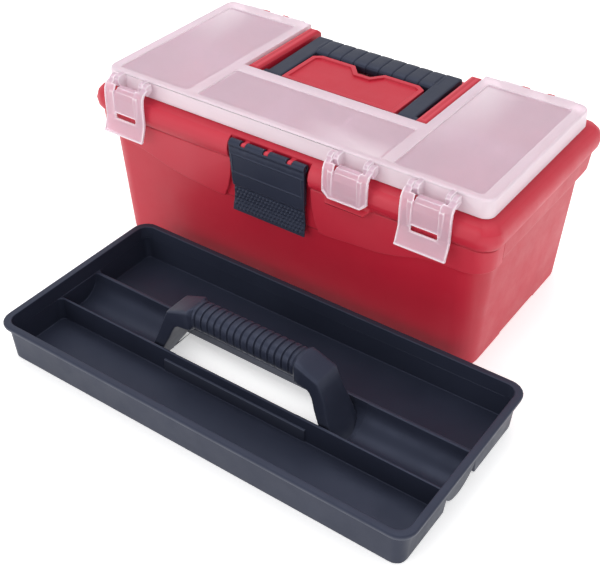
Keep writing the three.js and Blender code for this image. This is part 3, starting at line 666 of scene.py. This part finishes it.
def latch_grip():
    """The grip band: small pyramids in offset rows."""
    pitch, row_pitch, rows, top_row = 3.65, 3.55, 6, 101.6
    base_half, tip_half, height, sunk = 1.72, 0.45, 1.5, 0.4
    pyramids = []
    for row in range(rows):
        z = top_row - row_pitch * row
        y = face_y(z) + sunk
        first = LATCH_LEFT + 3.9 + (pitch / 2 if row % 2 else 0)
        for x in steps(first, LATCH_RIGHT - 3.0, pitch):
            rings = [diamond(x, y, z, base_half), diamond(x, y - height, z, tip_half)]
            pyramids.append(rings_solid(rings))
    return pyramids


def build_latch():
    solids = latch_lines() + latch_grip()
    latch = fused(
        "latch", solids, "latch", "black", voxel=0.4, smooth=1, keep=0.75, cad=("main_latch",)
    )
    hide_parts("main_latch")


# ---------- clips of the cover, and their ears ----------
# The middle clip is the short one, and its foot has cut corners.
CLIP_HALF = {"left": 22.3, "middle": 21.0, "right": 22.3}
CLIP_THICK = 2.0
RAISED_ROOT = -106.6  # the y inside the clip's face where its raised parts start
# Distances in x from a clip's middle, the width of its raised edge, and the pin's radius.
PANEL_HALF, SLOT_HALF, FLAP_HALF = 11, 13.2, 13
INNER_STRIP, ARM_SPAN = (11.6, 16.4), (16.5, 21.4)
OUTER_STRIP_START, EDGE_WIDE = 15.8, 1.5
RIB_TOP, RIB_FOOT = 13.5, 13.2
EAR_SPAN, PIN_SPAN, PIN_R = (11.4, 15.9), (11.2, 21.6), 1.25
# Paths and outlines in (y, z). The paths run from the top down.
CLIP_TOP = [
    (-96.4, 163.4), (-100.8, 163.1), (-104.2, 161.2), (-106.3, 157.4), (-107.0, 150), (-107.0, 141)
]
SHORT_END = [(-107.0, 138.2)]
LONG_END = [(-107.0, 133), (-108.0, 128.6), (-112.0, 117.2)]
CLIP_PANEL = [
    (-97.0, 157.6), (-102.4, 158.0), (-105.4, 155.8), (-106.6, 150), (-106.8, 141), (-107.0, 136.4)
]
CLIP_ARM = [
    (-92.8, 160.4), (-99.5, 157.6), (-101.9, 161.6), (-100.8, 165.8), (-97.6, 167.6), (-93.4, 166.9)
]
CLIP_EAR = [
    (-90.4, 154.6), (-96.4, 155.6), (-99.6, 159.6), (-100.2, 164.6), (-98.4, 167.2), (-95.4, 167.7),
    (-90.4, 167.5),
]


def rib(top_x, foot_x, foot_z):
    """A rib down the clip's face that tapers to its foot."""
    # The middle x, half the width, the height, and how far the front is set back.
    stations = [
        (top_x, 2.3, 159.2, 2.6),
        (top_x, 2.2, 156.6, 0.2),
        (top_x, 2.0, 150, 0),
        (foot_x, 1.0, foot_z, 0.2),
    ]
    rings = []
    for x, half, z, set_back in stations:
        root_y, root_z, front_y = -105.6, z + 1.4, -108.6 + set_back
        rings.append([
            (x - half, root_y, root_z), (x + half, root_y, root_z),
            (x + half, front_y, z), (x - half, front_y, z),
        ])
    return rings_solid(rings)


def clip_edge(middle, half, side, path, rib_foot):
    """One side of a clip: two strips, the raised edge, the arm and the rib."""
    return [
        strap(path, CLIP_THICK, *span(middle, side, OUTER_STRIP_START, half)),
        strap([(-103.6, 161.8)] + path[3:], CLIP_THICK, *span(middle, side, *INNER_STRIP)),
        strap([(y - 0.7, z) for y, z in path[1:]], 1.6, *span(middle, side, half - EDGE_WIDE, half)),
        prism_x(CLIP_ARM, *span(middle, side, *ARM_SPAN)),
        rib(middle + side * RIB_TOP, middle + side * RIB_FOOT, rib_foot),
    ]


def short_foot(middle, half):
    """A plate with its lower corners cut off, and a raised rim along its lower edge."""
    top, shoulder, bottom, cut = 139, 137.2, 131.8, 6
    plate = [
        (-half, top), (half, top), (half, shoulder), (half - cut, bottom), (cut - half, bottom),
        (-half, shoulder),
    ]
    outer = [(middle + x, z) for x, z in plate]
    inner = [(middle + x * 0.93, z + 1.6) for x, z in plate]
    solids = [prism_y(outer, -107.9, -106.0)]
    for i in range(2, 5):
        rim = [outer[i], outer[i + 1], inner[i + 1], inner[i]]
        solids.append(prism_y(rim, -108.7, RAISED_ROOT))
    return solids


def long_foot(middle, half):
    """The flap, the thick strip along its lower edge, and the lips of the slot above it."""
    return [
        strap([(-107.2, 131)] + LONG_END[1:], CLIP_THICK, middle - FLAP_HALF, middle + FLAP_HALF),
        strap([(-112.4, 118.8), (-112.8, 117.2)], 2.2, middle - half, middle + half),
        box(middle - SLOT_HALF, middle + SLOT_HALF, -108.8, RAISED_ROOT, 129.2, 130.6),
        box(middle - SLOT_HALF, middle + SLOT_HALF, -108.4, RAISED_ROOT, 136.2, 137.2),
    ]


def clip_ears(middle, pin_y, pin_z):
    """The cover's two ears for a clip, each with a stub of the pin."""
    pin_near, pin_far = PIN_SPAN
    solids = []
    for side in (-1, 1):
        pin_ends = middle + side * pin_near, middle + side * pin_far
        solids.append(rod_x(*pin_ends, pin_y, pin_z, PIN_R))
        solids.append(prism_x(CLIP_EAR, *span(middle, side, *EAR_SPAN)))
    return solids


def build_clip(side):
    middle, pin_y, pin_z = HINGE_AT[f"clip_{side}_hinge"]
    half, short = CLIP_HALF[side], side == "middle"
    path = CLIP_TOP + (SHORT_END if short else LONG_END)
    solids = []
    for sign in (-1, 1):
        solids += clip_edge(middle, half, sign, path, 132.4 if short else 134.4)
    # The sunk panel between the two sides, its top turned back towards the cover.
    solids.append(strap(CLIP_PANEL, 1.8, middle - PANEL_HALF, middle + PANEL_HALF))
    solids += short_foot(middle, half) if short else long_foot(middle, half)
    body = f"clip_{side}"
    clip = fused(body, solids, body, "frosted_clear", voxel=0.45, smooth=2, keep=0.6)
    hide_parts(f"cover_latch_{side}")
    ears = clip_ears(middle, pin_y, pin_z)
    stub = fused(f"clip_{side}_ears", ears, "cover", "frosted_clear", voxel=0.4, smooth=2, keep=0.6)
    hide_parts(f"cover_latch_pin_{side}")


# ---------- the object ----------
rounded("tub", cleaned("base_tub"), "base_tub", radius=0.8)
rounded("lid", cleaned("lid_shell"), "lid_shell", radius=0.7)
rounded("cover", cleaned("organizer_cover"), "organizer_cover", radius=0.45)
build_tray()
build_carry_handle()
build_latch()
for clip_name in CLIP_HALF:
    build_clip(clip_name)

# The CAD nodes that still show take the material of their slot.
for name, part in nodes.items():
    if not part.hide_render:
        part.data.materials.clear()
        part.data.materials.append(SLOTS[SLOT_OF[name]])


# ---------- stage, light and camera ----------
CAMERA_AT = Vector((450.7, -697.9, 594.6)) * MM
CAMERA_AIM = Vector((6.5, -71.7, 0)) * MM
LAMP_AIM = Vector((0, 0, 0.1))


def build_floor():
    """A pale floor just below the object, glowing a little so that it stays near white."""
    reach, drop = 6.0, 0.0004
    mesh = bpy.data.meshes.new("floor")
    corners = [(-reach, -reach, 0), (reach, -reach, 0), (reach, reach, 0), (-reach, reach, 0)]
    mesh.from_pydata(corners, [], [(0, 1, 2, 3)])
    floor = placed("floor", mesh)
    floor.location.z = -drop
    material, _, shader = new_material("pale_floor")
    shader.inputs["Base Color"].default_value = (0.92, 0.92, 0.92, 1)
    shader.inputs["Roughness"].default_value = 0.9
    shader.inputs["Emission Color"].default_value = (1, 1, 1, 1)
    shader.inputs["Emission Strength"].default_value = 0.45
    mesh.materials.append(material)


def build_world():
    world = bpy.data.worlds.new("studio")
    bpy.context.scene.world = world
    world.use_nodes = True
    background = world.node_tree.nodes["Background"]
    background.inputs["Color"].default_value = (1, 1, 1, 1)
    background.inputs["Strength"].default_value = 0.85


def look_from(thing, place, target):
    """A lamp or a camera set at a place and turned to a target."""
    thing.location = place
    thing.rotation_euler = (target - Vector(place)).to_track_quat("-Z", "Y").to_euler()


def lamp(name, place, size, power):
    data = bpy.data.lights.new(name, "AREA")
    data.shape = "RECTANGLE"
    data.size, data.size_y = size
    data.energy = power
    look_from(placed(name, data), place, LAMP_AIM)


def build_camera():
    data = bpy.data.cameras.new("camera")
    data.lens = 64.0
    data.sensor_width = 36
    camera = placed("camera", data)
    look_from(camera, CAMERA_AT, CAMERA_AIM)
    bpy.context.scene.camera = camera
    bpy.context.scene.view_settings.view_transform = "Standard"


build_floor()
build_world()
lamp("key", (1.6, 0.5, 1.5), size=(1.2, 1.2), power=1.5)
lamp("top", (-0.3, 0.4, 2.0), size=(1.6, 1.6), power=14)
lamp("front", (-0.6, -2.2, 1.1), size=(1.6, 1.0), power=11)
build_camera()
